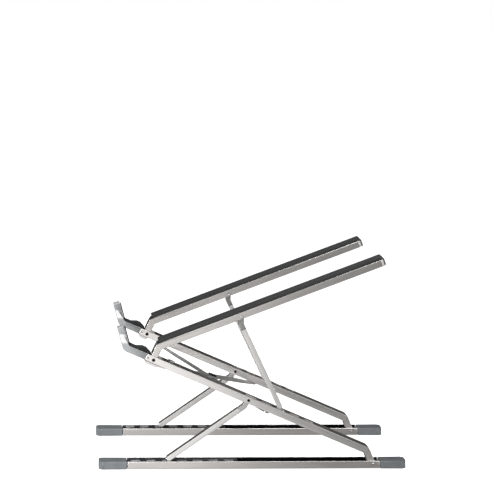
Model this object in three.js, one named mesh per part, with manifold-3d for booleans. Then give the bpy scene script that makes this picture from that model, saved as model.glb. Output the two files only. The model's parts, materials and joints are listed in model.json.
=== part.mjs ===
// A two-layer folding laptop stand in aluminium channel. Millimetres and degrees, +Z up.
// +X runs to the stand's rear and +Y to the user's left. The origin is on the desk, under the
// middle of the base rails. Each side has a base rail, a mid arm hinged on it, and a tray rail
// hinged on the arm; two struts prop the layers apart, and a pair of crossed links joins the arms.

import * as THREE from "three";
import { mergeVertices } from "three/addons/utils/BufferGeometryUtils.js";
import Module from "manifold-3d";

const wasm = await Module();
wasm.setup();

// Overall layout
const baseLength = 255;
const railSpacing = 152; // between the two sides, centre to centre
const railWidth = 20;
const armSlope = 23.15; // mid arm, down towards the rear
const trayTilt = 20.8; // tray rail, up towards the rear

// Channel section and its bent end
const wall = 1.5;
const web = 1.2;
const railDepth = 5.5;
const bendAngle = 45;
const bendRadius = 6;
const tightestBend = 0.5; // an inner bend under this radius is left sharp
const legWall = 1.4;
const legRoot = 5; // how far the leg's narrow part runs on into the rail
const eyeRadius = 2.5;
const eyeRelief = 0.7; // the leg is cleared this far round its eyes
const endCorner = 5; // the corners of rail ends and caps, from above

// Base rail
const baseHeight = 6.5;
const baseLift = 0.4; // the rubber caps stand this far below the rail
const baseFloor = 1.2;
const frontCapLength = 23.7;
const rearCapLength = 22;
const frontTongue = 8;
const rearTongue = 2.2;
const hingeSetback = 27.7; // base rear end to the base hinge
const hingeHeight = 4.7;

// Mid arm
const foldedFrontGap = 1.5; // front pivot to the front cap when the arm lies flat
const hingeDepth = 10.3; // base hinge below the arm's top edge
const hingeInset = 1.8; // base hinge inside the leg's outer edge
const pivotDepth = 2.75; // pivots below the arm's top edge, at mid depth
const armNose = 6.8; // arm end ahead of the front pivot
const noseCorner = 1.5;
const strutPivotReach = 85.5; // front pivot to the lower strut's pivot
const bracketFront = 6.3; // the nose bracket, ahead of the front pivot
const bracketRear = 3.3; // and behind it
const bracketDepth = 2.1; // below the arm
const bracketTail = 11.8; // front pivot to the end of its tapered tail

// Tray rail
const trayDepthOverPivot = 11.5; // tray top above the front pivot
const trayInset = 3; // front pivot inside the leg's outer edge
const trayLength = 199.8; // bend to the rear end
const trayStrutReach = 80.3; // front pivot to the upper strut's pivot, along the tray
const trayStrutDepth = 3.8; // the upper strut's pivot below the tray top
const trayEndWall = 4;

// Struts and the plates they stand on
const strutDepth = 4.2;
const strutWidth = 8.8;
const strutInboardEdge = 2.2; // inboard side of a strut from its rail's middle
const strutEye = 2.3;
const strutTab = 6.5; // eye to knee
const strutKnee = 27;
const knuckleEnd = 11.5; // eye to the end of the knuckle's visible part
const knuckleTongue = 4;
const knuckleInset = 0.5; // a knuckle is this much narrower than its strut on each side
const strutSkin = 1.2;
const notchPitch = 12.9;
const notchLength = 7.5;
const notchWidth = 7;
const notchInboardEdge = 0.6; // inboard side of a notch, outboard of the rail's middle
const notchPlateThick = 1.5;
const notchPlateDrop = 0.5; // plate top below the base rail's rim
const plateNotchesBehind = 4; // behind the foot's notch
const armNotchesAhead = 2;
const armNotchesBehind = 2;
const footInNotch = notchLength / 4; // a foot stands this far off its notch's middle

// Crossed links
const linkOffset = 5.5; // link pivots inboard of their rail's middle
const linkFrontReach = 15.3; // front pivot to the link's front pin, along the arm
const linkThick = 1.2;
const linkEndRadius = 3;
const linkMidHalf = 5;
const linkShoulder = 33; // where a link starts to narrow, from its ends
const hubSetback = 44.42; // front pins to the hub, along the arm
const linkTailGap = 13.3; // the closed links' rear pins stay this far from the arm's bend
const foldedSideGap = 8.4; // between the two sides when the links are closed
const trackThick = 1;

// Pins and clearances
const hingePin = 1.4;
const frontPin = 1.2;
const strutPin = 1;
const linkPin = 1.3;
const linkHead = 3;
const slideHead = 2.2;
const hubPin = 2;
const hubHead = 3.8;
const headThick = 0.9;
const pinClearance = 0.25;
const clearance = 0.3;
const linkGap = 0.25;

// Hooks and pads
const hookThick = 5.5;
const hookStem = 24.5; // front pivot to the hook's knee
const hookUpright = 17.8;
const hookLean = 5.5; // its upright leans in this far from square to the tray
const hookWidth = 15;
const hookBend = 5.6;
const hookRivetReach = 5.2;
const hookRivetRadius = 0.7;
const liningThick = 0.9;
const liningInset = 1;
const liningTip = 2; // the lining ends this far below the hook's tip
const wedgeLength = 12.8; // of the hook pad's wedge, along the stem
const wedgeHeight = 2.9;
const wedgeCrest = 7.8; // its highest point, ahead of its rear end
const wedgeSlope = 4.4; // length of its steep rear face
const padThick = 2.2;
const padInset = 0.8;
const padCorner = 2;
const padFront = 2;
const padRear = 1.2;

const pinSides = 20;
const half = railSpacing / 2;
const inner = railWidth / 2 - wall;
const legHalf = inner - clearance;
const radians = THREE.MathUtils.degToRad;
const through = 1; // a cutting shape runs this far past what it cuts

// ---- solids ----

// A closed geometry as a solid for cutting and joining.
function solid(geometry) {
  geometry.deleteAttribute("normal");
  geometry.deleteAttribute("uv");
  const merged = mergeVertices(geometry, 1e-5);
  return new wasm.Manifold(new wasm.Mesh({
    numProp: 3,
    vertProperties: merged.attributes.position.array,
    triVerts: Uint32Array.from(merged.index.array),
  }));
}

// A solid as a three.js geometry.
function geometryOf(body) {
  const mesh = body.getMesh();
  const geometry = new THREE.BufferGeometry();
  const positions = new THREE.BufferAttribute(Float32Array.from(mesh.vertProperties), 3);
  geometry.setAttribute("position", positions);
  geometry.setIndex(new THREE.BufferAttribute(Uint32Array.from(mesh.triVerts), 1));
  geometry.computeVertexNormals();
  return geometry;
}

// An outline of [x, z] points, seen from the side, drawn out from y0 to y1.
function sideSlab(points, [y0, y1]) {
  const shape = new THREE.Shape(points.map(([x, z]) => new THREE.Vector2(x, z)));
  const geometry = new THREE.ExtrudeGeometry(shape, { depth: y1 - y0, bevelEnabled: false });
  geometry.rotateX(Math.PI / 2);
  geometry.translate(0, y1, 0);
  return solid(geometry);
}

// An outline of [x, y] points, seen from above, drawn up from z0 to z1.
function planSlab(points, z0, z1) {
  const shape = new THREE.Shape(points.map(([x, y]) => new THREE.Vector2(x, y)));
  const geometry = new THREE.ExtrudeGeometry(shape, { depth: z1 - z0, bevelEnabled: false });
  geometry.translate(0, 0, z0);
  return solid(geometry);
}

// A box between two x values, two y values and two z values.
function block([x0, x1], [y0, y1], [z0, z1]) {
  const geometry = new THREE.BoxGeometry(x1 - x0, y1 - y0, z1 - z0);
  geometry.translate((x0 + x1) / 2, (y0 + y1) / 2, (z0 + z1) / 2);
  return solid(geometry);
}

// A round bar across the stand, at x and z.
function crossBar(x, z, radius, [y0, y1]) {
  const geometry = new THREE.CylinderGeometry(radius, radius, y1 - y0, pinSides);
  geometry.translate(x, (y0 + y1) / 2, z);
  return solid(geometry);
}

// An upright round bar at x and y.
function post(x, y, radius, [z0, z1]) {
  const geometry = new THREE.CylinderGeometry(radius, radius, z1 - z0, pinSides);
  geometry.rotateX(Math.PI / 2);
  geometry.translate(x, y, (z0 + z1) / 2);
  return solid(geometry);
}

// Where a stretch from a to b outboard of one side's rail middle lies in y.
function across(side, a, b) {
  const ends = [side * (half + a), side * (half + b)];
  return [Math.min(...ends), Math.max(...ends)];
}

// Points on an arc, from one angle to another in degrees.
function arc(x, z, radius, from, to, steps) {
  return Array.from({ length: steps + 1 }, (_, i) => {
    const angle = radians(from + ((to - from) * i) / steps);
    return [x + radius * Math.cos(angle), z + radius * Math.sin(angle)];
  });
}

// A strip of even thickness along a line of points, with round ends where asked.
function strip(line, thick, roundStart, roundEnd) {
  const left = [];
  const right = [];
  line.forEach(([x, z], i) => {
    const before = line[Math.max(i - 1, 0)];
    const after = line[Math.min(i + 1, line.length - 1)];
    const inward = Math.atan2(z - before[1], x - before[0]);
    const outward = Math.atan2(after[1] - z, after[0] - x);
    const a = i === 0 ? outward : inward;
    const b = i === line.length - 1 ? inward : outward;
    const reach = thick / 2 / Math.cos((b - a) / 2);
    const normal = (a + b) / 2 + Math.PI / 2;
    left.push([x + reach * Math.cos(normal), z + reach * Math.sin(normal)]);
    right.push([x - reach * Math.cos(normal), z - reach * Math.sin(normal)]);
  });
  const [first, second] = line;
  const [last, beforeLast] = [line[line.length - 1], line[line.length - 2]];
  const start = THREE.MathUtils.radToDeg(Math.atan2(second[1] - first[1], second[0] - first[0]));
  const end = THREE.MathUtils.radToDeg(Math.atan2(last[1] - beforeLast[1], last[0] - beforeLast[0]));
  const tail = roundEnd ? arc(...last, thick / 2, end - 90, end + 90, 8).slice(1, -1) : [];
  const nose = roundStart ? arc(...first, thick / 2, start + 90, start + 270, 8).slice(1, -1) : [];
  return [...right, ...tail, ...left.reverse(), ...nose];
}

// A line of two straight stretches with the corner between them rounded.
function elbow(from, corner, to, radius, steps) {
  const a = new THREE.Vector2(...from).sub(new THREE.Vector2(...corner));
  const b = new THREE.Vector2(...to).sub(new THREE.Vector2(...corner));
  const turn = Math.PI - Math.acos(a.clone().normalize().dot(b.clone().normalize()));
  const cut = radius * Math.tan(turn / 2);
  const p = new THREE.Vector2(...corner).addScaledVector(a.clone().normalize(), cut);
  const q = new THREE.Vector2(...corner).addScaledVector(b.clone().normalize(), cut);
  const curve = new THREE.QuadraticBezierCurve(p, new THREE.Vector2(...corner), q);
  const bend = curve.getPoints(steps).map((point) => [point.x, point.y]);
  return [from, ...bend, to];
}

// ---- bent rails ----

// The edge of a bent rail at a depth below its top: straight to the corner, then down the leg.
// The corner of the top edges is at 0, 0, the rail runs to -x and the leg to +x.
function railEdge(depth, length, leg) {
  const bend = radians(bendAngle);
  const radius = bendRadius - depth;
  const corner = radius > tightestBend
    ? arc(-bendRadius * Math.tan(bend / 2), -bendRadius, radius, 90, 90 - bendAngle, 4)
    : [[-depth * Math.tan(bend / 2), -depth]];
  const foot = [
    leg * Math.cos(bend) - depth * Math.sin(bend),
    -leg * Math.sin(bend) - depth * Math.cos(bend),
  ];
  return [[-length, -depth], ...corner, foot];
}

// The stretch of a bent rail between two depths, placed with its corner at x, z. A rail that runs
// to +x instead is the mirror of it.
function railBand([x, z], mirrored, depths, length, leg) {
  const upper = railEdge(depths[0], length, leg);
  const lower = railEdge(depths[1], length, leg).reverse();
  const points = [...upper, ...lower].reverse();
  const turn = mirrored ? -1 : 1;
  const placed = points.map(([px, pz]) => [x + turn * px, z + pz]);
  return mirrored ? placed.reverse() : placed;
}

// A bent rail: a wide channel with its open side down, and a narrower bent leg that ends in two
// eyes around the pivot.
function bentRail(side, corner, mirrored, length, leg, pivot, pivotRadius) {
  const turn = mirrored ? -1 : 1;
  const wide = across(side, -railWidth / 2, railWidth / 2);
  const narrow = across(side, -legHalf, legHalf);
  const pastLeg = corner[0] + turn * (leg + railDepth) * 2;
  const legOnly = [Math.min(corner[0], pastLeg), Math.max(corner[0], pastLeg)];
  const outline = railBand(corner, mirrored, [0, railDepth], length, leg);
  const tall = [corner[1] - leg - railDepth * 2, corner[1] + through];
  const beyondCorner = block(legOnly, across(side, -railWidth, railWidth), tall);
  const pastEnd = railDepth / 2;
  const pocketDepths = [web, railDepth + pastEnd];
  const pocket = railBand(corner, mirrored, pocketDepths, length + pastEnd, leg + pastEnd);
  const mainPart = sideSlab(outline, wide).subtract(beyondCorner)
    .subtract(sideSlab(pocket, across(side, -inner, inner)));
  const legInside = across(side, -legHalf + legWall, legHalf - legWall);
  const legPart = sideSlab(railBand(corner, mirrored, [0, railDepth], legRoot, leg), narrow)
    .add(crossBar(...pivot, eyeRadius, narrow))
    .subtract(sideSlab(pocket, legInside))
    .subtract(crossBar(...pivot, eyeRadius + eyeRelief, legInside))
    .subtract(crossBar(...pivot, pivotRadius + pinClearance, narrow));
  return mainPart.add(legPart);
}

// ---- places worked out from the sizes ----

const baseFront = -baseLength / 2;
const baseRear = baseLength / 2;
const railFront = baseFront + frontCapLength;
const railRear = baseRear - rearCapLength;
const hinge = [baseRear - hingeSetback, hingeHeight];

// Seen from the side, the arm's own frame has the front pivot at 0, 0 and x down the arm.
const armTop = pivotDepth;
const armBottom = pivotDepth - railDepth;
const armHinge = [hinge[0] - railFront - foldedFrontGap, armTop - hingeDepth];
const bendSlope = Math.SQRT1_2;
const armCorner = [armHinge[0] - hingeDepth + hingeInset / bendSlope, armTop];
const armLeg = ((armHinge[0] - armCorner[0]) + hingeDepth) * bendSlope;
const strutPivot = [strutPivotReach, 0];

// The tray's own frame has the front pivot at 0, 0 and x up the tray.
const trayTop = trayDepthOverPivot;
const trayBottom = trayTop - railDepth;
const trayCorner = [trayTop - trayInset / bendSlope, trayTop];
const trayLeg = (trayCorner[0] + trayTop) * bendSlope;
const trayRear = trayCorner[0] + trayLength;
const trayPivot = [trayStrutReach, trayTop - trayStrutDepth];

// A point of a tilted frame in the frame that holds it.
function turned([x, z], degrees) {
  const angle = radians(degrees);
  return [x * Math.cos(angle) + z * Math.sin(angle), z * Math.cos(angle) - x * Math.sin(angle)];
}

const [hingeRunX, hingeRunZ] = turned(armHinge, armSlope);
const frontPivot = [hinge[0] - hingeRunX, hinge[1] - hingeRunZ];

// Struts are as long as the arm leaves room for when they lie folded in it.
const strutLength = strutPivotReach - frontPin - clearance * 2 - strutDepth / 2;
const platesTop = baseHeight - notchPlateDrop;

// The lower strut's foot stands on the base's notch plate.
const [lowerX, lowerZ] = turned(strutPivot, armSlope);
const lowerPivot = [frontPivot[0] + lowerX, frontPivot[1] + lowerZ];
const lowerDrop = lowerPivot[1] - (platesTop + clearance + strutDepth / 2);
const lowerFootX = lowerPivot[0] - Math.sqrt(strutLength ** 2 - lowerDrop ** 2);
const lowerAngle = THREE.MathUtils.radToDeg(Math.asin(lowerDrop / strutLength));

// The upper strut's foot stands on the arm's notched web.
const upperPivot = turned(trayPivot, -(trayTilt + armSlope));
const upperDrop = upperPivot[1] - (armTop + clearance + strutDepth / 2);
const upperFootX = upperPivot[0] + Math.sqrt(strutLength ** 2 - upperDrop ** 2);
const upperAngle = THREE.MathUtils.radToDeg(Math.asin(upperDrop / strutLength));

// The links close until the sides nearly meet, or until their rear pins use up the arm's length.
const linkLine = half - linkOffset;
const hubReach = linkFrontReach + hubSetback;
const linkRearReach = hubReach + hubSetback;
const linkHalf = Math.hypot(hubSetback, linkLine);
const closedHalf = (railWidth + foldedSideGap) / 2 - linkOffset;
const linkClosedReach = Math.min(
  linkFrontReach + 2 * Math.sqrt(linkHalf ** 2 - closedHalf ** 2),
  armCorner[0] - linkTailGap,
);
const upperLink = [armBottom - linkGap - linkThick, armBottom - linkGap];
const lowerLink = [upperLink[0] - linkGap - linkThick, upperLink[0] - linkGap];

// ---- the pieces ----

const stand = new THREE.Group();

// Adds a piece to a group as a named mesh with its own material.
function piece(group, name, body, [color, roughness, metalness]) {
  const material = new THREE.MeshStandardMaterial({ color, roughness, metalness });
  const mesh = new THREE.Mesh(geometryOf(body), material);
  mesh.name = name;
  group.add(mesh);
}

const aluminium = [0xb9b4af, 0.38, 0.9];
const strutMetal = [0xc4c0bb, 0.35, 0.9];
const knuckleMetal = [0x8d8b89, 0.42, 0.85];
const polished = [0xd4d6d8, 0.16, 1];
const steel = [0xa9abad, 0.3, 0.95];
const darkSteel = [0x56595c, 0.45, 0.8];
const plateGrey = [0x5f6468, 0.55, 0.4];
const rubberGrey = [0x7a7e81, 0.8, 0];
const rubberBlack = [0x1a1c1e, 0.85, 0];

// Rectangular notches along x, cut down through a web. They lie towards the outer side.
function notches(side, centres, [z0, z1]) {
  const cuts = centres.map((x) => block(
    [x - notchLength / 2, x + notchLength / 2],
    across(side, notchInboardEdge, notchInboardEdge + notchWidth),
    [z0, z1],
  ));
  return cuts.reduce((all, cut) => all.add(cut));
}

// Evenly pitched places on both sides of a first one.
function pitched(first, ahead, behind) {
  return Array.from({ length: ahead + behind + 1 }, (_, i) => first + (i - ahead) * notchPitch);
}

// The outline of a rail's end from above, as wide as the rail, with its two outer corners rounded.
function endOutline(side, inside, outside) {
  const [y0, y1] = across(side, -railWidth / 2, railWidth / 2);
  const turn = Math.sign(outside - inside);
  const x = outside - turn * endCorner;
  const low = arc(0, 0, endCorner, -90, 0, 5).map(([a, b]) => [x + turn * a, y0 + endCorner + b]);
  const high = arc(0, 0, endCorner, 0, 90, 5).map(([a, b]) => [x + turn * a, y1 - endCorner + b]);
  const points = [[inside, y0], ...low, ...high, [inside, y1]];
  return turn > 0 ? points : points.reverse();
}

// A rubber cap: a flush body past the rail's end and a tongue that plugs the channel.
function endCap(side, inside, outside, tongue) {
  const turn = Math.sign(outside - inside);
  const seat = inside + turn * clearance;
  const x = [seat - turn * (tongue + clearance), seat + turn * wall].sort((a, b) => a - b);
  const z = [baseLift + baseFloor + clearance, platesTop - notchPlateThick - clearance];
  const plug = block(x, across(side, -inner + clearance, inner - clearance), z);
  return planSlab(endOutline(side, seat, outside), 0, baseHeight).add(plug);
}

// The base rail of one side with its caps, notch plate and hinge pin.
function addBase(side, name) {
  const group = new THREE.Group();
  const wide = across(side, -railWidth / 2, railWidth / 2);
  const channel = block([railFront, railRear], wide, [baseLift, baseHeight])
    .subtract(block(
      [railFront - through, railRear + through],
      across(side, -inner, inner),
      [baseLift + baseFloor, baseHeight + through],
    ))
    .subtract(crossBar(...hinge, hingePin + pinClearance, wide));
  piece(group, `${name}_base_rail`, channel, aluminium);
  piece(group, `${name}_front_cap`, endCap(side, railFront, baseFront, frontTongue), rubberGrey);
  piece(group, `${name}_rear_cap`, endCap(side, railRear, baseRear, rearTongue), rubberGrey);
  piece(group, `${name}_base_hinge_pin`, crossBar(...hinge, hingePin, wide), steel);

  const first = lowerFootX - footInNotch;
  const room = first - notchLength / 2 - railFront - wall;
  const centres = pitched(first, Math.floor(room / notchPitch), plateNotchesBehind);
  const plateEnd = centres[centres.length - 1] + notchLength;
  const plateZ = [platesTop - notchPlateThick, platesTop];
  const plate = block(
    [railFront + clearance, plateEnd],
    across(side, -inner + clearance, inner - clearance),
    plateZ,
  ).subtract(notches(side, centres, [plateZ[0] - through, plateZ[1] + through]));
  piece(group, `${name}_notch_plate`, plate, plateGrey);
  stand.add(group);
}

// The mid arm of one side with the parts fixed to it.
function addArm(side, name, armGroup) {
  const wide = across(side, -railWidth / 2, railWidth / 2);
  const inside = across(side, -inner, inner);
  const pinLine = side * linkLine;
  const noseFlat = -armNose + noseCorner;
  const noseEnd = -armNose - through;
  const noseCut = block([noseEnd, noseFlat], wide, [armBottom - through, armTop + through])
    .subtract(sideSlab([
      ...arc(noseFlat, armTop - noseCorner, noseCorner, 90, 180, 4),
      ...arc(noseFlat, armBottom + noseCorner, noseCorner, 180, 270, 4),
    ], wide));
  const webCut = [armTop - web - clearance, armTop + through];
  const strutRelief = strutEye + clearance;
  const armNotches = pitched(upperFootX + footInNotch, armNotchesAhead, armNotchesBehind);
  const channel = bentRail(
    side, armCorner, false, armCorner[0] + armNose, armLeg, armHinge, hingePin,
  )
    .subtract(noseCut)
    .subtract(block([noseEnd, armNose], inside, webCut))
    .subtract(crossBar(0, 0, frontPin + pinClearance, wide))
    .subtract(crossBar(-hookRivetReach, 0, hookRivetRadius + pinClearance, wide))
    .subtract(crossBar(...strutPivot, strutPin + pinClearance, wide))
    .subtract(post(linkFrontReach, pinLine, linkPin + pinClearance, webCut))
    .subtract(block(
      [strutPivot[0] - strutRelief, strutPivot[0] + strutRelief],
      across(side, -strutInboardEdge - clearance, inner),
      webCut,
    ))
    .subtract(notches(side, armNotches, webCut));
  piece(armGroup, `${name}_mid_arm`, channel, aluminium);
  piece(armGroup, `${name}_front_pin`, crossBar(0, 0, frontPin, wide), steel);
  piece(armGroup, `${name}_lower_strut_pin`, crossBar(...strutPivot, strutPin, wide), steel);
  const rivet = crossBar(-hookRivetReach, 0, hookRivetRadius, wide);
  piece(armGroup, `${name}_hook_rivet`, rivet, steel);

  // The slide track stands on the channel's inboard wall and guides a link's rear pin.
  const slotHalf = linkPin + clearance;
  const track = block(
    [linkRearReach - linkEndRadius * 2, linkClosedReach + linkEndRadius],
    across(side, -inner + clearance, -linkOffset + linkEndRadius),
    [armBottom, armBottom + trackThick],
  ).subtract(block(
    [linkRearReach - slotHalf, linkClosedReach + slotHalf],
    [pinLine - slotHalf, pinLine + slotHalf],
    [armBottom - through, armBottom + trackThick + through],
  ));
  piece(armGroup, `${name}_slide_track`, track, steel);
}

// The bracket under an arm's nose: a rounded block, a cheek behind it beside the folded strut, a
// tail that thins out behind the cheek, and a plug up into the arm between the tray rail's eyes.
function addNoseBracket(side, name, armGroup) {
  const top = armBottom - clearance;
  const bottom = top - bracketDepth;
  const nose = arc(-bracketFront + bracketDepth, top, bracketDepth, 180, 270, 5);
  const blockRear = strutPivotReach - strutLength - strutDepth / 2 - clearance;
  const strutOutside = strutWidth - strutInboardEdge + clearance;
  const outside = railWidth / 2 - clearance;
  const outline = (rear) => [...nose, [rear, bottom], [rear, top]];
  const nearBlock = sideSlab(outline(blockRear), across(side, -inner, outside));
  const cheek = sideSlab(outline(bracketRear), across(side, strutOutside, outside));
  const tailRoot = bracketRear - through;
  const tail = sideSlab(
    [[tailRoot, bottom], [bracketTail, top - clearance], [bracketTail, top], [tailRoot, top]],
    across(side, strutOutside, outside - wall),
  );
  const plugSides = legHalf - legWall - clearance * 2;
  const plug = block(
    [-bracketRear, blockRear - clearance],
    across(side, -plugSides, -strutInboardEdge - clearance),
    [top - clearance, -frontPin - pinClearance],
  );
  const bracket = nearBlock.add(cheek).add(tail).add(plug);
  piece(armGroup, `${name}_nose_bracket`, bracket, aluminium);
}

// The hook of one side: a stem in line with the arm, a knee, and an upright nearly square to the
// tray.
function addHook(side, name, armGroup) {
  const uprightAngle = radians(90 + trayTilt + armSlope - hookLean);
  const knee = [-hookStem, 0];
  const tip = [
    knee[0] + hookUpright * Math.cos(uprightAngle),
    knee[1] + hookUpright * Math.sin(uprightAngle),
  ];
  const stemEnd = [-trayInset - clearance * 2, 0];
  const width = across(side, -hookWidth / 2, hookWidth / 2);
  const line = elbow(stemEnd, knee, tip, hookBend, 6);
  const body = sideSlab(strip(line, hookThick, false, false), width)
    .subtract(crossBar(-hookRivetReach, 0, hookRivetRadius + pinClearance, width));
  piece(armGroup, `${name}_hook`, body, polished);

  // The pad lines the inside of the knee, and a wedge of it fills in under the laptop.
  const off = (hookThick + liningThick) / 2 + clearance;
  const uprightSide = [off * Math.sin(uprightAngle), -off * Math.cos(uprightAngle)];
  const inKnee = [knee[0] + off * Math.tan((Math.PI - uprightAngle) / 2), off];
  const padStart = [stemEnd[0] - clearance * 2, off];
  const padEnd = [
    tip[0] + uprightSide[0] - liningTip * Math.cos(uprightAngle),
    tip[1] + uprightSide[1] - liningTip * Math.sin(uprightAngle),
  ];
  const padWidth = across(side, -hookWidth / 2 + liningInset, hookWidth / 2 - liningInset);
  const padLine = elbow(padStart, inKnee, padEnd, hookBend - off, 6);
  const seat = off - liningThick / 2;
  const wedge = sideSlab([
    [padStart[0] - wedgeLength, seat],
    [padStart[0], seat],
    [padStart[0], seat + liningThick],
    [padStart[0] - wedgeSlope, seat + wedgeHeight],
    [padStart[0] - wedgeCrest, seat + wedgeHeight],
    [padStart[0] - wedgeLength, seat + liningThick],
  ], padWidth);
  const lining = sideSlab(strip(padLine, liningThick, true, true), padWidth).add(wedge);
  piece(armGroup, `${name}_hook_pad`, lining, rubberBlack);
}

// The tray rail of one side with its pad and the pin that carries the upper strut.
function addTray(side, name, trayGroup) {
  const wide = across(side, -railWidth / 2, railWidth / 2);
  const height = [trayBottom, trayTop];
  const rail = bentRail(side, trayCorner, true, trayLength, trayLeg, [0, 0], frontPin);
  const endWall = block([trayRear - trayEndWall, trayRear], wide, height);
  const square = block([trayRear - endCorner, trayRear + through], wide, height);
  const rounded = planSlab(endOutline(side, trayRear - endCorner * 2, trayRear), ...height);
  const body = rail.add(endWall).subtract(square.subtract(rounded))
    .subtract(crossBar(...trayPivot, strutPin + pinClearance, wide));
  piece(trayGroup, `${name}_tray_rail`, body, aluminium);
  piece(trayGroup, `${name}_upper_strut_pin`, crossBar(...trayPivot, strutPin, wide), steel);

  const padHalf = railWidth / 2 - padInset - padCorner;
  const [y0, y1] = across(side, -padHalf, padHalf);
  const frontX = trayCorner[0] + padFront + padCorner;
  const rearX = trayRear - padRear - padCorner;
  const outline = [
    ...arc(rearX, y0, padCorner, -90, 0, 5),
    ...arc(rearX, y1, padCorner, 0, 90, 5),
    ...arc(frontX, y1, padCorner, 90, 180, 5),
    ...arc(frontX, y0, padCorner, 180, 270, 5),
  ];
  const padZ = trayTop + clearance;
  piece(trayGroup, `${name}_tray_pad`, planSlab(outline, padZ, padZ + padThick), rubberBlack);
}

// A strut in its own frame: the eye at 0, 0 and the foot's round end on the -x side, or on the
// +x side when mirrored. The knee drops the bar below the line from the eye to the foot.
function addStrut(side, name, group, mirrored) {
  const turn = mirrored ? -1 : 1;
  const bend = radians(strutKnee);
  const lean = Math.asin((strutTab * Math.sin(bend)) / strutLength);
  const along = [-Math.cos(lean), Math.sin(lean)];
  const foot = [-strutLength, 0];
  const run = strutLength * Math.cos(lean) - strutTab * Math.cos(bend);
  const knee = [foot[0] - along[0] * run, foot[1] - along[1] * run];
  const reached = (distance) => [knee[0] + along[0] * distance, knee[1] + along[1] * distance];
  const lowered = ([x, z], drop) => [x - along[1] * drop, z + along[0] * drop];
  const flip = (points) => {
    const placed = points.map(([x, z]) => [turn * x, z]);
    return mirrored ? placed.reverse() : placed;
  };
  const band = (inset) => {
    return across(side, inset - strutInboardEdge, strutWidth - strutInboardEdge - inset);
  };

  // The bar is a channel with its open side down.
  const barStart = knuckleEnd - strutTab;
  const bar = sideSlab(flip(strip([reached(barStart), foot], strutDepth, false, true)), band(0));
  const pocketLine = [reached(barStart - through), reached(run - strutDepth)]
    .map((point) => lowered(point, strutSkin));
  const pocket = sideSlab(flip(strip(pocketLine, strutDepth, false, false)), band(strutSkin));
  piece(group, `${name}_strut`, bar.subtract(pocket), strutMetal);

  // The knuckle's tongue plugs the bar.
  const tongueLine = [reached(barStart - through), reached(barStart + knuckleTongue)]
    .map((point) => lowered(point, strutSkin / 2 + clearance));
  const tongueThick = strutDepth - strutSkin - clearance * 2;
  const tongue = strip(tongueLine, tongueThick, false, false);
  const neckLine = elbow([0, 0], knee, reached(barStart - clearance), strutEye, 4);
  const knuckle = sideSlab(flip(strip(neckLine, strutDepth, false, false)), band(knuckleInset))
    .add(crossBar(0, 0, strutEye, band(knuckleInset)))
    .add(sideSlab(flip(tongue), band(strutSkin + clearance)))
    .subtract(crossBar(0, 0, strutPin + pinClearance, band(0)));
  piece(group, `${name}_knuckle`, knuckle, knuckleMetal);
}

// A link from above: a flat bar that narrows to round ends, with three holes.
function link(frontSide, z) {
  const start = new THREE.Vector2(linkFrontReach, frontSide * linkLine);
  const end = new THREE.Vector2(linkRearReach, -frontSide * linkLine);
  const length = start.distanceTo(end);
  const outline = [
    ...arc(0, 0, linkEndRadius, 110, 250, 8),
    [linkShoulder, -linkMidHalf],
    [length - linkShoulder, -linkMidHalf],
    ...arc(length, 0, linkEndRadius, -70, 70, 8),
    [length - linkShoulder, linkMidHalf],
    [linkShoulder, linkMidHalf],
  ];
  const angle = Math.atan2(end.y - start.y, end.x - start.x);
  const placed = outline.map(([x, y]) => [
    start.x + x * Math.cos(angle) - y * Math.sin(angle),
    start.y + x * Math.sin(angle) + y * Math.cos(angle),
  ]);
  const hole = [z[0] - through, z[1] + through];
  return planSlab(placed, ...z)
    .subtract(post(start.x, start.y, linkPin + pinClearance, hole))
    .subtract(post(hubReach, 0, hubPin + pinClearance, hole))
    .subtract(post(end.x, end.y, linkPin + pinClearance, hole));
}

// The crossed links with their pins. Link a starts at the right arm and lies on top.
function addLinks(armGroup) {
  piece(armGroup, "link_a", link(-1, upperLink), darkSteel);
  piece(armGroup, "link_b", link(1, lowerLink), darkSteel);
  const headed = (x, y, radius, foot, headRadius, under) => {
    const top = under + headThick;
    return post(x, y, radius, [foot, top]).add(post(x, y, headRadius, [under, top]));
  };
  const hubFoot = lowerLink[0] - linkGap;
  const hub = headed(hubReach, 0, hubPin, hubFoot, hubHead, upperLink[1] + linkGap);
  piece(armGroup, "hub_pin", hub, steel);

  // The front pins are headed on top of the arms' webs, with a collar down to their link.
  const sides = [[-1, "right", upperLink], [1, "left", lowerLink]];
  sides.forEach(([side, name, layer]) => {
    const y = side * linkLine;
    const collar = [layer[1] + linkGap / 2, armTop - web - linkGap];
    const pin = headed(linkFrontReach, y, linkPin, layer[0], linkHead, armTop + linkGap / 2)
      .add(post(linkFrontReach, y, slideHead, collar));
    piece(armGroup, `${name}_link_pin`, pin, steel);
  });

  // The rear pins hang in the slide tracks by their heads.
  const slides = [[1, "left", upperLink], [-1, "right", lowerLink]];
  slides.forEach(([side, name, layer]) => {
    const under = armBottom + trackThick + linkGap;
    const y = side * linkLine;
    const pin = headed(linkRearReach, y, linkPin, layer[0], slideHead, under);
    piece(armGroup, `${name}_slide_pin`, pin, steel);
  });
}

const arms = new THREE.Group();
arms.position.set(frontPivot[0], 0, frontPivot[1]);
arms.rotation.y = radians(armSlope);
stand.add(arms);

const trays = new THREE.Group();
trays.rotation.y = -radians(armSlope + trayTilt);
arms.add(trays);

const lowerStruts = new THREE.Group();
lowerStruts.position.set(strutPivot[0], 0, strutPivot[1]);
lowerStruts.rotation.y = -radians(armSlope + lowerAngle);
arms.add(lowerStruts);

const upperStruts = new THREE.Group();
upperStruts.position.set(trayPivot[0], 0, trayPivot[1]);
upperStruts.rotation.y = radians(armSlope + trayTilt + upperAngle);
trays.add(upperStruts);

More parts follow.
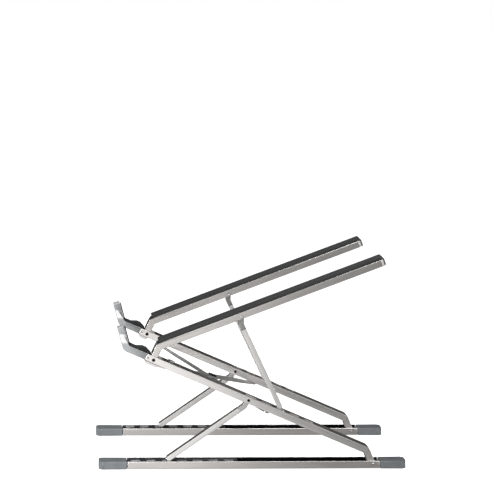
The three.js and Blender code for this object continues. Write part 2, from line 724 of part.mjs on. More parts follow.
[[-1, "right"], [1, "left"]].forEach(([side, name]) => {
  addBase(side, name);
  addArm(side, name, arms);
  addNoseBracket(side, name, arms);
  addHook(side, name, arms);
  addStrut(side, `${name}_lower`, lowerStruts, false);
  addTray(side, name, trays);
  addStrut(side, `${name}_upper`, upperStruts, true);
});
addLinks(arms);

export default stand;
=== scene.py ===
# A two-layer folding laptop stand, standing open. Metres, +Z up, +X to the stand's rear.
# Base rails, mid arms and tray rails are aluminium channel; short struts prop the layers apart.

import json
import math

import bmesh
import bpy
from mathutils import Matrix, Vector


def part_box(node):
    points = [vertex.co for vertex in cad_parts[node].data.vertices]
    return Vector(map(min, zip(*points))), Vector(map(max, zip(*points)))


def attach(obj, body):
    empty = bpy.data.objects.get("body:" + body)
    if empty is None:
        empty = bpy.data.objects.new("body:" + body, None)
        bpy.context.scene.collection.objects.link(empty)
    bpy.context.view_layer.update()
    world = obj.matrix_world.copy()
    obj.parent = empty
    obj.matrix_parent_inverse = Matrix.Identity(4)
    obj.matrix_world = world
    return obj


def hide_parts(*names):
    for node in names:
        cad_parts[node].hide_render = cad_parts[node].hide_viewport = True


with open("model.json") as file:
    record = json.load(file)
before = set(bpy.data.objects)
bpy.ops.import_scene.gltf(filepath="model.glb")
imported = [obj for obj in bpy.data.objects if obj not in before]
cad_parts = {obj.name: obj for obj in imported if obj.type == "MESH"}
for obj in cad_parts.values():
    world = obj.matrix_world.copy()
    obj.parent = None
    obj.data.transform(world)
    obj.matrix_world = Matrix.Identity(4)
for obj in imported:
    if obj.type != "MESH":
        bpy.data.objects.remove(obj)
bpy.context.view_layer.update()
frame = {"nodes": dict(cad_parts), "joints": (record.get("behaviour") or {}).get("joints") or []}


# ---- Camera ----
# A long lens a little above the stand, square to its right side and level with the tray.
CAMERA_PLACE = (-0.15894, -2.02602, 0.38744)
CAMERA_TURN = (84.0751, -0.6626, -4.3757)  # degrees about X, Y, Z
CAMERA_LENS = 174.92  # mm, on a 36 mm sensor

camera_data = bpy.data.cameras.new("camera")
camera_data.lens = CAMERA_LENS
camera_data.sensor_width = 36
camera_data.clip_start = 0.05
camera_data.clip_end = 50
camera = bpy.data.objects.new("camera", camera_data)
bpy.context.scene.collection.objects.link(camera)
camera.location = CAMERA_PLACE
camera.rotation_euler = [math.radians(a) for a in CAMERA_TURN]
bpy.context.scene.camera = camera


# ---- Base rails ----
# A straight aluminium channel, open at the top, on each side of the stand. It is extruded,
# bead blasted and anodised; its broken cut edges are painted brighter, as wear and painted
# highlight.
SIDES = ("right", "left")
RAIL_COLOUR = (0.60, 0.575, 0.555)
RAIL_ROUGHNESS = 0.3
RAIL_EDGE = 0.00035
RAIL_PAINTED_SHADE = (0.018, 0.022, 0.027)  # painted shade: near black on the faces inside the channel
BARE_ALUMINIUM = (0.62, 0.63, 0.64)
SAME_PLACE = 2e-6  # corners this close are one corner
SAME_FLAT = 0.4  # degrees; faces this near to level with each other are one face
CORNER_TURN = 28  # degrees; an edge that turns more than this is broken
SHADING_TURN = 40  # degrees; an edge that turns more than this is shaded as a crease
EDGE_GLOSS = 0.1  # broken edges are this much less rough


def cad_copy(node):
    """A CAD node's mesh with its loose triangles joined and its flat faces whole."""
    shape = bmesh.new()
    shape.from_mesh(frame["nodes"][node].data)
    bmesh.ops.remove_doubles(shape, verts=shape.verts, dist=SAME_PLACE)
    bmesh.ops.dissolve_limit(
        shape, angle_limit=math.radians(SAME_FLAT), verts=shape.verts, edges=shape.edges
    )
    return shape


def break_edges(shape, width, steps=2):
    """Rounds a shape's long sharp edges within its own box and marks the new faces for painted
    wear and highlight.
    """
    wear_and_highlight = shape.faces.layers.float.new("wear_and_highlight")
    spans = [[v.co[i] for v in shape.verts] for i in range(3)]
    limits = [(min(span), max(span)) for span in spans]
    edges = [
        e for e in shape.edges
        if e.is_manifold
        and e.calc_face_angle() > math.radians(CORNER_TURN)
        and e.calc_length() > 2 * width
    ]
    made = bmesh.ops.bevel(
        shape, geom=edges, offset=width, segments=steps, profile=0.5,
        affect="EDGES", clamp_overlap=False, loop_slide=True,
    )
    for face in made["faces"]:
        face[wear_and_highlight] = 1.0
    for vert in shape.verts:
        for i, (least, most) in enumerate(limits):
            vert.co[i] = min(max(vert.co[i], least), most)
    return shape


def finished(shape, name, material, body, stands_for, crease=SHADING_TURN):
    """A shape as a piece of the stand that moves with its body."""
    many_sided = [f for f in shape.faces if len(f.verts) > 4]
    bmesh.ops.triangulate(shape, faces=many_sided, ngon_method="EAR_CLIP")
    mesh = bpy.data.meshes.new(name)
    shape.to_mesh(mesh)
    shape.free()
    mesh.shade_smooth()
    mesh.set_sharp_from_angle(angle=math.radians(crease))
    mesh.materials.append(material)
    piece = bpy.data.objects.new(name, mesh)
    bpy.context.scene.collection.objects.link(piece)
    even = piece.modifiers.new("even_shading", "WEIGHTED_NORMAL")
    even.keep_sharp = True
    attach(piece, body)
    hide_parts(*stands_for)
    return piece


class Finish:
    """A new material's nodes, with short calls for the ones that every finish here uses."""

    def __init__(self, name, metallic, coat=0.0):
        self.material = bpy.data.materials.new(name)
        self.material.use_nodes = True
        self.tree = self.material.node_tree
        self.tree.nodes.clear()
        output = self.add("OutputMaterial")
        self.shader = self.add("BsdfPrincipled")
        self.shader.inputs["Metallic"].default_value = metallic
        self.shader.inputs["Coat Weight"].default_value = coat
        self.join(self.shader.outputs["BSDF"], output.inputs["Surface"])

    def add(self, kind, **settings):
        node = self.tree.nodes.new("ShaderNode" + kind)
        for key, value in settings.items():
            setattr(node, key, value)
        return node

    def join(self, a, b):
        self.tree.links.new(a, b)

    def along(self, slope, grain):
        """Object coordinates with x along a piece at this slope, in units of the grain's size."""
        place = self.add("TexCoord")
        turn = self.add("Mapping", vector_type="TEXTURE")
        turn.inputs["Rotation"].default_value = (0, math.radians(slope), 0)
        turn.inputs["Scale"].default_value = grain
        self.join(place.outputs["Object"], turn.inputs["Vector"])
        return turn.outputs["Vector"]

    def noise(self, vector, scale, detail=3.0, rough=0.55):
        node = self.add("TexNoise")
        node.inputs["Scale"].default_value = scale
        node.inputs["Detail"].default_value = detail
        node.inputs["Roughness"].default_value = rough
        self.join(vector, node.inputs["Vector"])
        return node.outputs["Fac"]

    def spread(self, value, low, high, start=0.3, end=0.7):
        """A value between start and end, brought between low and high."""
        node = self.add("MapRange")
        node.inputs["From Min"].default_value = start
        node.inputs["From Max"].default_value = end
        node.inputs["To Min"].default_value = low
        node.inputs["To Max"].default_value = high
        self.join(value, node.inputs["Value"])
        return node.outputs["Result"]

    def shades(self, value, dark, light):
        """A colour between two shades."""
        node = self.add("ValToRGB")
        node.color_ramp.elements[0].position = 0.3
        node.color_ramp.elements[0].color = (*dark, 1)
        node.color_ramp.elements[1].position = 0.7
        node.color_ramp.elements[1].color = (*light, 1)
        self.join(value, node.inputs["Fac"])
        return node.outputs["Color"]

    def math(self, kind, a, b):
        node = self.add("Math", operation=kind)
        for socket, value in zip(node.inputs, (a, b)):
            if isinstance(value, float):
                socket.default_value = value
            else:
                self.join(value, socket)
        return node.outputs["Value"]

    def wear_and_highlight(self, vector, share):
        """How much the surface is painted lighter for wear and as a highlight: only on broken
        edges, and there in patches.
        """
        mark = self.add("Attribute", attribute_name="wear_and_highlight")
        patches = self.spread(self.noise(vector, 1.4), 1.0 - share, 1.0)
        return self.math("MULTIPLY", mark.outputs["Fac"], patches)

    def marked(self, mark, colour, other):
        """Turns a colour into another on the faces that carry a mark."""
        faces = self.add("Attribute", attribute_name=mark)
        return self.mixed(faces.outputs["Fac"], colour, other)

    def mixed(self, factor, a, b):
        node = self.add("Mix", data_type="RGBA")
        self.join(factor, node.inputs["Factor"])
        self.join(a, node.inputs[6])
        node.inputs[7].default_value = (*b, 1)
        return node.outputs[2]

    def bump(self, height, distance, strength=0.4):
        node = self.add("Bump")
        node.inputs["Strength"].default_value = strength
        node.inputs["Distance"].default_value = distance
        self.join(height, node.inputs["Height"])
        self.join(node.outputs["Normal"], self.shader.inputs["Normal"])

    def set(self, socket, value):
        if isinstance(value, (int, float)):
            self.shader.inputs[socket].default_value = value
        else:
            self.join(value, self.shader.inputs[socket])


def tint(colour, factor):
    return tuple(min(1.0, c * factor) for c in colour)


def anodised(name, colour, roughness, slope, blast=0.00035):
    """Blasted and anodised aluminium: a fine even grain, drawn a little along the extrusion."""
    finish = Finish(name, 1.0)
    drawn = finish.along(slope, (0.02, 0.0011, 0.0011))
    lines = finish.noise(drawn, 1.0, 4)
    blasted = finish.noise(finish.along(slope, (blast, blast, blast)), 1.0, 2)
    clouds = finish.noise(finish.along(slope, (0.05, 0.02, 0.02)), 1.0, 2)
    wear_and_highlight = finish.wear_and_highlight(drawn, 0.45)
    mottled = finish.math("ADD", finish.math("MULTIPLY", lines, 0.6),
                          finish.math("MULTIPLY", blasted, 0.4))
    colour_now = finish.shades(mottled, tint(colour, 0.93), tint(colour, 1.07))
    # Broken edges are painted lighter in patches: wear, and a painted highlight along them.
    edged = finish.mixed(wear_and_highlight, colour_now, tint(colour, 1.35))
    # The faces marked inside a base channel are painted near black here: painted shade.
    channel_shaded = finish.marked("dark_inside", edged, RAIL_PAINTED_SHADE)
    finish.set("Base Color", finish.marked("punched", channel_shaded, BARE_ALUMINIUM))
    base = finish.spread(clouds, roughness - 0.03, roughness + 0.03)
    fine = finish.math("MULTIPLY", mottled, 0.06)
    rough = finish.math("ADD", base, fine)
    gloss = finish.math("MULTIPLY", wear_and_highlight, EDGE_GLOSS)
    finish.set("Roughness", finish.math("SUBTRACT", rough, gloss))
    finish.bump(mottled, 0.00002, 0.12)
    return finish.material


def paint_channel_shade(shape, low, high):
    """Marks the faces that look into a channel, within its opening and above its skin, to be
    painted near black as painted shade.
    """
    dark_inside = shape.faces.layers.float.new("dark_inside")
    middle = (low.y + high.y) / 2
    half_width = (high.y - low.y) / 2
    for face in shape.faces:
        place = face.calc_center_median()
        off = (place.y - middle) / half_width
        faces_in = face.normal.y * off < -0.5 or face.normal.z > 0.5
        if abs(off) < 0.9 and place.z > low.z + 0.001 and faces_in:
            face[dark_inside] = 1.0
    return shape


rail_metal = anodised("rail_anodised", RAIL_COLOUR, RAIL_ROUGHNESS, 0)
# The inside of each channel is painted near black as painted shade.
for side in SIDES:
    rail = paint_channel_shade(cad_copy(f"{side}_base_rail"), *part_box(f"{side}_base_rail"))
    rail = break_edges(rail, RAIL_EDGE)
    finished(rail, f"{side}_base_channel", rail_metal, f"{side}_base",
             [f"{side}_base_rail"])


# ---- Notch plates ----
# A dark anodised strip lies in the front half of each base rail, with a row of notches along
# its outer half. The struts' feet drop into them to set the height.
PLATE_COLOUR = (0.105, 0.115, 0.125)
PLATE_EDGE = 0.0002
LIP_WIRE = 0.00018
LIP_COLOUR = (0.62, 0.63, 0.64)


def corners(node, upward):
    """Where the flat top of a CAD node has its corners."""
    return [v.co.copy() for v in frame["nodes"][node].data.vertices if v.co.z > upward]


def notch_row(node):
    """A plate's notches as its top shows them: their middles in x, their y span and length."""
    low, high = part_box(node)
    inside = [
        c for c in corners(node, high.z - 1e-5)
        if low.x + 1e-4 < c.x < high.x - 1e-4 and low.y + 1e-4 < c.y < high.y - 1e-4
    ]
    edges = sorted({round(c.x, 5) for c in inside})
    spans = sorted({round(c.y, 5) for c in inside})
    middles = [(a + b) / 2 for a, b in zip(edges[::2], edges[1::2])]
    return middles, (spans[0], spans[-1]), edges[1] - edges[0]


def lip_tree():
    """Geometry Nodes: a rounded wire frame at each place along a straight, even row."""
    tree = bpy.data.node_groups.new("notch_lips", "GeometryNodeTree")
    tree.is_modifier = True
    for name, kind in (
        ("First", "NodeSocketVector"), ("Step", "NodeSocketVector"), ("Count", "NodeSocketInt"),
        ("Length", "NodeSocketFloat"), ("Width", "NodeSocketFloat"), ("Wire", "NodeSocketFloat"),
        ("Finish", "NodeSocketMaterial"),
    ):
        tree.interface.new_socket(name, in_out="INPUT", socket_type=kind)
    tree.interface.new_socket("Geometry", in_out="OUTPUT", socket_type="NodeSocketGeometry")
    given = tree.nodes.new("NodeGroupInput")
    row = tree.nodes.new("GeometryNodeMeshLine")
    frame_line = tree.nodes.new("GeometryNodeCurvePrimitiveQuadrilateral")
    round_off = tree.nodes.new("GeometryNodeFilletCurve")
    round_off.mode = "POLY"
    round_off.inputs["Count"].default_value = 4
    section = tree.nodes.new("GeometryNodeCurvePrimitiveCircle")
    section.inputs["Resolution"].default_value = 8
    swept = tree.nodes.new("GeometryNodeCurveToMesh")
    placed = tree.nodes.new("GeometryNodeInstanceOnPoints")
    real = tree.nodes.new("GeometryNodeRealizeInstances")
    painted = tree.nodes.new("GeometryNodeSetMaterial")
    out = tree.nodes.new("NodeGroupOutput")
    rounding = tree.nodes.new("ShaderNodeMath")
    rounding.operation = "MULTIPLY"
    rounding.inputs[1].default_value = 5
    for a, b in (
        (given.outputs["Count"], row.inputs["Count"]),
        (given.outputs["First"], row.inputs["Start Location"]),
        (given.outputs["Step"], row.inputs["Offset"]),
        (given.outputs["Length"], frame_line.inputs["Width"]),
        (given.outputs["Width"], frame_line.inputs["Height"]),
        (given.outputs["Wire"], rounding.inputs[0]),
        (rounding.outputs[0], round_off.inputs["Radius"]),
        (frame_line.outputs["Curve"], round_off.inputs["Curve"]),
        (given.outputs["Wire"], section.inputs["Radius"]),
        (round_off.outputs["Curve"], swept.inputs["Curve"]),
        (section.outputs["Curve"], swept.inputs["Profile Curve"]),
        (row.outputs["Mesh"], placed.inputs["Points"]),
        (swept.outputs["Mesh"], placed.inputs["Instance"]),
        (placed.outputs["Instances"], real.inputs["Geometry"]),
        (real.outputs["Geometry"], painted.inputs["Geometry"]),
        (given.outputs["Finish"], painted.inputs["Material"]),
        (painted.outputs["Geometry"], out.inputs["Geometry"]),
    ):
        tree.links.new(a, b)
    return tree


def grown(tree, name, values):
    """A plain mesh object from a node tree with these inputs, by the names of its sockets."""
    seed = bpy.data.objects.new(name, bpy.data.meshes.new(name))
    bpy.context.scene.collection.objects.link(seed)
    made = seed.modifiers.new("grown", "NODES")
    made.node_group = tree
    for item in tree.interface.items_tree:
        if item.in_out == "INPUT" and item.name in values:
            made[item.identifier] = values[item.name]
    seed.update_tag()
    graph = bpy.context.evaluated_depsgraph_get()
    graph.update()
    mesh = bpy.data.meshes.new_from_object(seed.evaluated_get(graph), depsgraph=graph)
    seed.modifiers.clear()
    seed.data = mesh
    mesh.shade_smooth()
    return seed


plate_metal = anodised("notch_plate_finish", PLATE_COLOUR, 0.42, 0)
lip_metal = anodised("notch_lip_finish", LIP_COLOUR, 0.3, 0)
lips = lip_tree()
for side in SIDES:
    node = f"{side}_notch_plate"
    middles, (y0, y1), notch_length = notch_row(node)
    plate = cad_copy(node)
    punched = plate.faces.layers.float.new("punched")
    for face in plate.faces:
        place = face.calc_center_median()
        if abs(face.normal.z) < 0.5 and y0 - 1e-4 < place.y < y1 + 1e-4:
            face[punched] = 1.0
    finished(break_edges(plate, PLATE_EDGE), f"{side}_notch_strip", plate_metal,
             f"{side}_base", [node])
    row = grown(lips, f"{side}_notch_lips", {
        "First": (middles[0], (y0 + y1) / 2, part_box(node)[1].z),
        "Step": (middles[1] - middles[0], 0.0, 0.0),
        "Count": len(middles),
        "Length": notch_length + LIP_WIRE,
        "Width": y1 - y0 + LIP_WIRE,
        "Wire": LIP_WIRE,
        "Finish": lip_metal,
    })
    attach(row, f"{side}_base")


# ---- End caps ----
# Moulded rubber caps close the base rails' ends and stand the stand on the desk. Their corners
# are round, and a tongue of each plugs the channel.
FRONT_RUBBER = (0.14, 0.152, 0.16)
# The rear caps are the same rubber as the front ones, painted darker as painted shade.
SHADED_REAR_RUBBER = (0.105, 0.112, 0.117)
CAP_EDGE = 0.0009
CAP_ROUGHNESS = 0.36


def moulded(name, colour, roughness, grain):
    """Moulded rubber or silicone: dull, with a fine spark-eroded grain."""
    finish = Finish(name, 0.0)
    fine = finish.noise(finish.along(0, (grain, grain, grain)), 1.0, 3)
    clouds = finish.noise(finish.along(0, (0.012, 0.012, 0.012)), 1.0, 2)
    finish.set("Base Color", finish.shades(clouds, tint(colour, 0.9), tint(colour, 1.12)))
    finish.set("Roughness", finish.spread(fine, roughness - 0.06, roughness + 0.06))
    finish.bump(fine, 0.00006, 0.5)
    return finish.material


cap_rubber = {
    "front": moulded("front_cap_moulding", FRONT_RUBBER, CAP_ROUGHNESS, 0.0003),
    "rear": moulded("rear_cap_moulding", SHADED_REAR_RUBBER, CAP_ROUGHNESS, 0.0003),
}
for side in SIDES:
    for end, rubber in cap_rubber.items():
        cap = break_edges(cad_copy(f"{side}_{end}_cap"), CAP_EDGE, 4)
        finished(cap, f"{side}_{end}_end_cap", rubber, f"{side}_base",
                 [f"{side}_{end}_cap"])


# ---- Pins ----
# Turned steel pins carry every hinge. Each end is chamfered and centre drilled, and lies flush
# in its hole. The base hinge and the tray's strut pins are bright, the others blacked.
PIN_STEPS = 32
PIN_CREASE = 50  # degrees
BRIGHT_STEEL = (0.72, 0.72, 0.72)
BLACKED_STEEL = (0.03, 0.03, 0.032)


def steel(name, colour, roughness):
    """Turned steel: fine rings from the tool, and a thin film of oil in patches."""
    finish = Finish(name, 1.0)
    rings = finish.noise(finish.along(0, (0.0002, 0.02, 0.0002)), 1.0, 3)
    film = finish.noise(finish.along(0, (0.002, 0.002, 0.002)), 1.0, 2)
    finish.set("Base Color", finish.shades(rings, tint(colour, 0.88), tint(colour, 1.12)))
    finish.set("Roughness", finish.spread(film, roughness - 0.05, roughness + 0.07))
    finish.bump(rings, 0.00002, 0.3)
    return finish.material


def turned_pin(node):
    """A pin across the stand, as turned on a lathe: chamfered ends, each centre drilled."""
    low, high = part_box(node)
    centre = (low + high) / 2
    half = (high - low) / 2
    reach = half.y
    radius = half.z
    chamfer = radius * 0.18
    drilled = radius * 0.5
    deep = radius * 0.55
    profile = [
        (0, reach - deep),
        (drilled * 0.8, reach - deep * 0.8),
        (drilled, reach - chamfer * 0.5),
        (drilled + chamfer * 0.5, reach),
        (radius - chamfer, reach),
        (radius, reach - chamfer),
    ]
    profile += [(r, -t) for r, t in reversed(profile)]
    shape = bmesh.new()
    rings = []
    for r, t in profile:
        if r == 0:
            rings.append([shape.verts.new((0, 0, t))])
            continue
        rings.append([
            shape.verts.new((
                r * math.cos(2 * math.pi * i / PIN_STEPS),
                r * math.sin(2 * math.pi * i / PIN_STEPS),
                t,
            ))
            for i in range(PIN_STEPS)
        ])
    for a, b in zip(rings, rings[1:]):
        for i in range(PIN_STEPS):
            j = (i + 1) % PIN_STEPS
            around = [a[i % len(a)], b[i % len(b)], b[j % len(b)], a[j % len(a)]]
            shape.faces.new(list(dict.fromkeys(around)))
    bmesh.ops.recalc_face_normals(shape, faces=shape.faces)
    bmesh.ops.rotate(shape, verts=shape.verts, matrix=Matrix.Rotation(math.pi / 2, 3, "X"))
    bmesh.ops.translate(shape, verts=shape.verts, vec=centre)
    return shape


bright_steel = steel("bright_turned_steel", BRIGHT_STEEL, 0.25)
blacked_steel = steel("blacked_turned_steel", BLACKED_STEEL, 0.4)
PINS = (
    ("base_hinge_pin", "base", bright_steel),
    ("front_pin", "arm", blacked_steel),
    ("lower_strut_pin", "arm", blacked_steel),
    ("hook_rivet", "arm", bright_steel),
    ("upper_strut_pin", "tray", bright_steel),
)
for side in SIDES:
    for pin, body, metal in PINS:
        finished(turned_pin(f"{side}_{pin}"), f"{side}_turned_{pin}", metal,
                 f"{side}_{body}", [f"{side}_{pin}"], crease=PIN_CREASE)


# ---- Mid arms ----
# A channel with its open side down slopes from the front pivot to the base hinge. Its rear end
# is bent down and narrowed to two eyes; its nose is rounded, and its web is notched.
joints = {j["name"]: j for j in frame["joints"]}
front_pivot = Vector(joints["right_tray_fold"]["pos_m"])
strut_pivot = Vector(joints["right_lower_strut_fold"]["pos_m"])
arm_run = strut_pivot - front_pivot
ARM_SLOPE = math.degrees(math.atan2(-arm_run.z, arm_run.x))

# The arms are the same anodised aluminium as the rails and trays, set lighter as painted light.
ARM_COLOUR = (0.72, 0.70, 0.68)
ARM_EDGE = RAIL_EDGE * 0.8

arm_metal = anodised("arm_anodised", ARM_COLOUR, RAIL_ROUGHNESS, ARM_SLOPE)
for side in SIDES:
    arm = break_edges(cad_copy(f"{side}_mid_arm"), ARM_EDGE)
    finished(arm, f"{side}_arm_channel", arm_metal, f"{side}_arm",
             [f"{side}_mid_arm"])


# ---- Nose brackets ----
# A cast block under each arm's nose carries the front pin beside the channel. Its tail tapers
# off along the arm, and a plug on it fills the channel's mouth.
BRACKET_COLOUR = (0.70, 0.69, 0.68)
BRACKET_EDGE = 0.0001

bracket_metal = anodised("bracket_cast", BRACKET_COLOUR, 0.34, ARM_SLOPE, 0.0006)
for side in SIDES:
    block = break_edges(cad_copy(f"{side}_nose_bracket"), BRACKET_EDGE)
    finished(block, f"{side}_nose_block", bracket_metal, f"{side}_arm",
             [f"{side}_nose_bracket"])


# ---- Crossed links ----
# Two flat pressed links cross between the arms and let the stand close sideways. Their front
# ends turn on pins in the arms, and their rear ends run in slotted tracks.
LINK_COLOUR = (0.62, 0.615, 0.61)
TRACK_COLOUR = (0.45, 0.45, 0.45)
LINK_EDGE = 0.0002
SMALL_EDGE = 0.00015  # on the tracks and the headed pins

link_metal = anodised("link_finish", LINK_COLOUR, 0.34, ARM_SLOPE, 0.0005)
track_metal = anodised("track_finish", TRACK_COLOUR, 0.3, ARM_SLOPE, 0.0005)
for link in ("link_a", "link_b"):
    bar = break_edges(cad_copy(link), LINK_EDGE)
    finished(bar, f"{link}_bar", link_metal, f"{link}_body", [link])
LINK_PINS = [("hub_pin", "link_a_body")]
for side in SIDES:
    LINK_PINS.append((f"{side}_link_pin", f"{side}_arm"))
LINK_PINS += [("left_slide_pin", "link_a_body"), ("right_slide_pin", "link_b_body")]
for pin, body in LINK_PINS:
    metal = blacked_steel if pin == "hub_pin" else bright_steel
    finished(break_edges(cad_copy(pin), SMALL_EDGE), f"{pin}_turned", metal, body,
             [pin])
for side in SIDES:
    strip = break_edges(cad_copy(f"{side}_slide_track"), SMALL_EDGE)
    finished(strip, f"{side}_slotted_track", track_metal, f"{side}_arm",
             [f"{side}_slide_track"])


# ---- Tray rails ----
# The top channel that carries the laptop, open below, with a bent front leg on the front pivot
# and a closed rounded rear end.
TRAY_SLOPE = -20.8  # degrees
# The trays' anodising is set darker than the arms' as painted shade.
TRAY_COLOUR = (0.56, 0.54, 0.52)
TRAY_EDGE = RAIL_EDGE * 0.8

tray_metal = anodised("tray_anodised", TRAY_COLOUR, RAIL_ROUGHNESS, TRAY_SLOPE)
for side in SIDES:
    tray = break_edges(cad_copy(f"{side}_tray_rail"), TRAY_EDGE)
    finished(tray, f"{side}_tray_channel", tray_metal, f"{side}_tray",
             [f"{side}_tray_rail"])


# ---- Struts ----
# Each prop is a short channel pressed from sheet, with a cast knuckle in its upper end that
# turns on the rail's pin. Its round foot drops into a notch.
STRUT_COLOUR = (0.76, 0.745, 0.73)
LOWER_KNUCKLE = (0.58, 0.575, 0.57)
# The upper knuckles are the same casting as the lower ones, painted darker as painted shade under
# the tray.
SHADED_UPPER_KNUCKLE = (0.36, 0.355, 0.35)
LOWER_SLOPE = -35.0  # degrees
UPPER_SLOPE = 60.0
STRUT_EDGE = 0.00025
KNUCKLE_EDGE = 0.0002

for level, slope, knuckle_colour in (
    ("lower", LOWER_SLOPE, LOWER_KNUCKLE), ("upper", UPPER_SLOPE, SHADED_UPPER_KNUCKLE),
):
    strut_metal = anodised(f"{level}_strut_anodised", STRUT_COLOUR, 0.32, slope)
    knuckle_metal = anodised(f"{level}_knuckle_cast", knuckle_colour, 0.42, slope, 0.0007)
    for side in SIDES:
        body = f"{side}_{level}_prop"
        bar = break_edges(cad_copy(f"{side}_{level}_strut"), STRUT_EDGE)
        finished(bar, f"{side}_{level}_strut_bar", strut_metal, body,
                 [f"{side}_{level}_strut"])
        knuckle = break_edges(cad_copy(f"{side}_{level}_knuckle"), KNUCKLE_EDGE)
        finished(knuckle, f"{side}_{level}_strut_knuckle", knuckle_metal, body,
                 [f"{side}_{level}_knuckle"])


# ---- Hooks ----
# A J-shaped hook of aluminium is riveted in each arm's nose and catches the laptop's front edge.
# It is satin, painted darker towards the arm as painted shade, with one polished belt below its
# tip painted lighter as a painted highlight.
HOOK_SATIN = (0.36, 0.37, 0.375)
HOOK_PAINTED_SHADE = (0.17, 0.172, 0.175)
HOOK_PAINTED_HIGHLIGHT = (0.70, 0.70, 0.71)
HOOK_LIT_TOP = (0.50, 0.51, 0.52)
HOOK_TIP = 0.0063  # length of the satin tip above the belt
HOOK_BELT = 0.0062
HOOK_FADE = 0.0022
HOOK_PAINTED_SHADE_START = 0.010  # painted shade on the stem starts this far behind the hook's front
HOOK_EDGE = 0.0005


def hooked():
    """Satin aluminium with a polished belt at one height painted lighter as a painted highlight,
    and a stem painted darker as painted shade.
    """
    low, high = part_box("right_hook")
    finish = Finish("hook_finish", 1.0)
    satin = finish.noise(finish.along(0, (0.0003, 0.002, 0.0003)), 1.0, 3)
    swirls = finish.noise(finish.along(0, (0.006, 0.0015, 0.006)), 1.0, 3)
    place = finish.add("TexCoord").outputs["Object"]
    parts = finish.add("SeparateXYZ")
    finish.join(place, parts.inputs["Vector"])
    belt_top = high.z - HOOK_TIP
    above = finish.spread(parts.outputs["Z"], 1.0, 0.0, belt_top - HOOK_FADE / 4, belt_top)
    tip = finish.add("Attribute", attribute_name="tip").outputs["Fac"]
    below = finish.spread(parts.outputs["Z"], 0.0, 1.0,
                          belt_top - HOOK_BELT - HOOK_FADE, belt_top - HOOK_BELT)
    belt = finish.math("MULTIPLY", above, below)
    stem_shade = finish.spread(parts.outputs["X"], 0.0, 1.0, low.x + HOOK_PAINTED_SHADE_START, high.x)
    shade = finish.shades(swirls, tint(HOOK_SATIN, 0.96), tint(HOOK_SATIN, 1.05))
    # The stem is painted darker towards the arm: painted shade.
    colour = finish.mixed(stem_shade, shade, HOOK_PAINTED_SHADE)
    # The polished belt is also painted lighter: a painted highlight.
    colour = finish.mixed(belt, colour, HOOK_PAINTED_HIGHLIGHT)
    # The top end faces are painted a lighter, less metallic grey: painted light on the top.
    colour = finish.mixed(tip, colour, HOOK_LIT_TOP)
    finish.set("Metallic", finish.math("SUBTRACT", 1.0, finish.math("MULTIPLY", tip, 0.7)))
    wear_and_highlight = finish.wear_and_highlight(swirls, 0.5)
    # The hook's broken edges are painted lighter in patches: wear, and a painted highlight.
    finish.set("Base Color", finish.mixed(wear_and_highlight, colour, tint(HOOK_SATIN, 1.4)))
    rough = finish.spread(satin, 0.26, 0.34)
    finish.set("Roughness", finish.math("SUBTRACT", rough, finish.math("MULTIPLY", belt, 0.12)))
    finish.bump(satin, 0.00001, 0.05)
    return finish.material


hook_metal = hooked()
for side in SIDES:
    hook = cad_copy(f"{side}_hook")
    tip_mark = hook.faces.layers.float.new("tip")
    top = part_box(f"{side}_hook")[1].z - HOOK_TIP / 2
    # The top end faces get the mark for painted light.
    for face in hook.faces:
        if face.normal.z > 0.8 and face.calc_center_median().z > top:
            face[tip_mark] = 1.0
    hook = break_edges(hook, HOOK_EDGE, 3)
    finished(hook, f"{side}_edge_hook", hook_metal, f"{side}_arm", [f"{side}_hook"])


# ---- Silicone pads ----
# Black silicone strips are glued on the tray rails and inside the hooks, so that the laptop
# neither slips nor scratches. Their edges are soft and slightly domed.
SILICONE = (0.016, 0.017, 0.018)
LINING_SILICONE = (0.005, 0.005, 0.006)
PAD_EDGE = 0.0005
LINING_EDGE = 0.0003
silicone = moulded("black_silicone", SILICONE, 0.6, 0.0004)
soft_lining = moulded("black_lining", LINING_SILICONE, 0.75, 0.0004)
for side in SIDES:
    pad = break_edges(cad_copy(f"{side}_tray_pad"), PAD_EDGE, 3)
    finished(pad, f"{side}_tray_strip", silicone, f"{side}_tray", [f"{side}_tray_pad"])
    dark_inside = break_edges(cad_copy(f"{side}_hook_pad"), LINING_EDGE, 3)
    finished(dark_inside, f"{side}_hook_lining", soft_lining, f"{side}_arm",
             [f"{side}_hook_pad"])


# ---- Studio ----
# A plain pale floor and a plain sky, white to look at. Metal sees the sky as a tent: pale above,
# dark low behind the stand, dim in front. A large soft light hangs close to the front left.
FLOOR = 6.0
FLOOR_GLOW = 0.75
SKY = (  # turn about X from straight ahead, down and round behind, as a share of a full turn
    (0.00, 0.26),
    (0.12, 0.36),
    (0.25, 0.60),
    (0.42, 0.40),
    (0.49, 0.03),
    (0.53, 0.01),
    (0.68, 0.01),
    (0.73, 0.90),
    (0.78, 1.40),
    (0.86, 0.90),
    (1.00, 0.26),
)

floor_mesh = bpy.data.meshes.new("floor")
floor_mesh.from_pydata(
    [(-FLOOR, -FLOOR, 0), (FLOOR, -FLOOR, 0), (FLOOR, FLOOR * 4, 0), (-FLOOR, FLOOR * 4, 0)],
    [], [(0, 1, 2, 3)],
)
floor_paint = Finish("pale_floor", 0.0)
floor_paint.set("Roughness", 0.9)
floor_paint.set("Specular IOR Level", 0.0)
floor_paint.set("Emission Strength", FLOOR_GLOW)
floor_paint.shader.inputs["Base Color"].default_value = (0.6, 0.6, 0.6, 1)
floor_paint.shader.inputs["Emission Color"].default_value = (1, 1, 1, 1)
floor_mesh.materials.append(floor_paint.material)
floor = bpy.data.objects.new("floor", floor_mesh)
bpy.context.scene.collection.objects.link(floor)
floor.visible_glossy = False

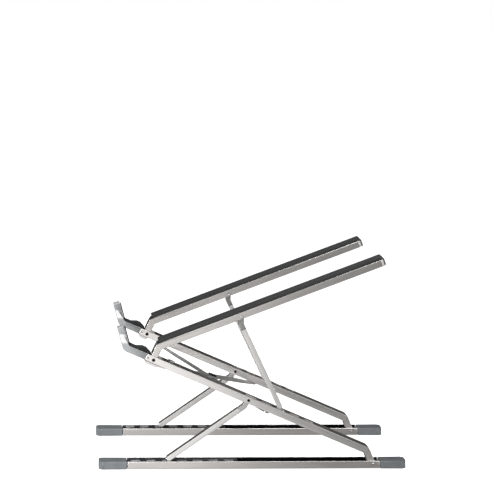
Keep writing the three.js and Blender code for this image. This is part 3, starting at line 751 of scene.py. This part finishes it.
world = bpy.data.worlds.new("studio_tent")
world.use_nodes = True
nodes = world.node_tree.nodes
links = world.node_tree.links
backdrop = nodes["Background"]
direction = nodes.new("ShaderNodeTexCoord")
split = nodes.new("ShaderNodeSeparateXYZ")
links.new(direction.outputs["Generated"], split.inputs["Vector"])
turn = nodes.new("ShaderNodeMath")
turn.operation = "ARCTAN2"
links.new(split.outputs["Z"], turn.inputs[0])
links.new(split.outputs["Y"], turn.inputs[1])
share = nodes.new("ShaderNodeMapRange")
share.inputs["From Min"].default_value = -math.pi
share.inputs["From Max"].default_value = math.pi
links.new(turn.outputs["Value"], share.inputs["Value"])
tent = nodes.new("ShaderNodeValToRGB")
while len(tent.color_ramp.elements) < len(SKY):
    tent.color_ramp.elements.new(0.5)
for stop, (place, level) in zip(tent.color_ramp.elements, SKY):
    stop.position = place
    stop.color = (level, level, level, 1)
links.new(share.outputs["Result"], tent.inputs["Fac"])
seen = nodes.new("ShaderNodeLightPath")
chosen = nodes.new("ShaderNodeMix")
chosen.data_type = "RGBA"
links.new(seen.outputs["Is Camera Ray"], chosen.inputs["Factor"])
links.new(tent.outputs["Color"], chosen.inputs[6])
chosen.inputs[7].default_value = (1, 1, 1, 1)
links.new(chosen.outputs[2], backdrop.inputs["Color"])
bpy.context.scene.world = world


def softbox(name, place, aim, width, height, power):
    data = bpy.data.lights.new(name, "AREA")
    data.shape = "RECTANGLE"
    data.size = width
    data.size_y = height
    data.energy = power
    light = bpy.data.objects.new(name, data)
    bpy.context.scene.collection.objects.link(light)
    light.visible_camera = False
    light.location = place
    light.rotation_euler = (Vector(aim) - Vector(place)).to_track_quat("-Z", "Y").to_euler()


softbox("key_left", (-0.26, -0.62, 0.04), (-0.24, 0, 0.05), 0.56, 0.4, 0.94)
softbox("overhead", (0, 0.0, 1.2), (0, 0, 0), 0.8, 0.8, 11)
softbox("rim_left", (-1.1, -0.75, 0.25), (-0.1, 0, 0.05), 0.12, 0.8, 9)
softbox("rim_right", (1.1, -0.75, 0.25), (0.1, 0, 0.1), 0.12, 0.8, 1.3)

bpy.context.scene.view_settings.view_transform = "Standard"
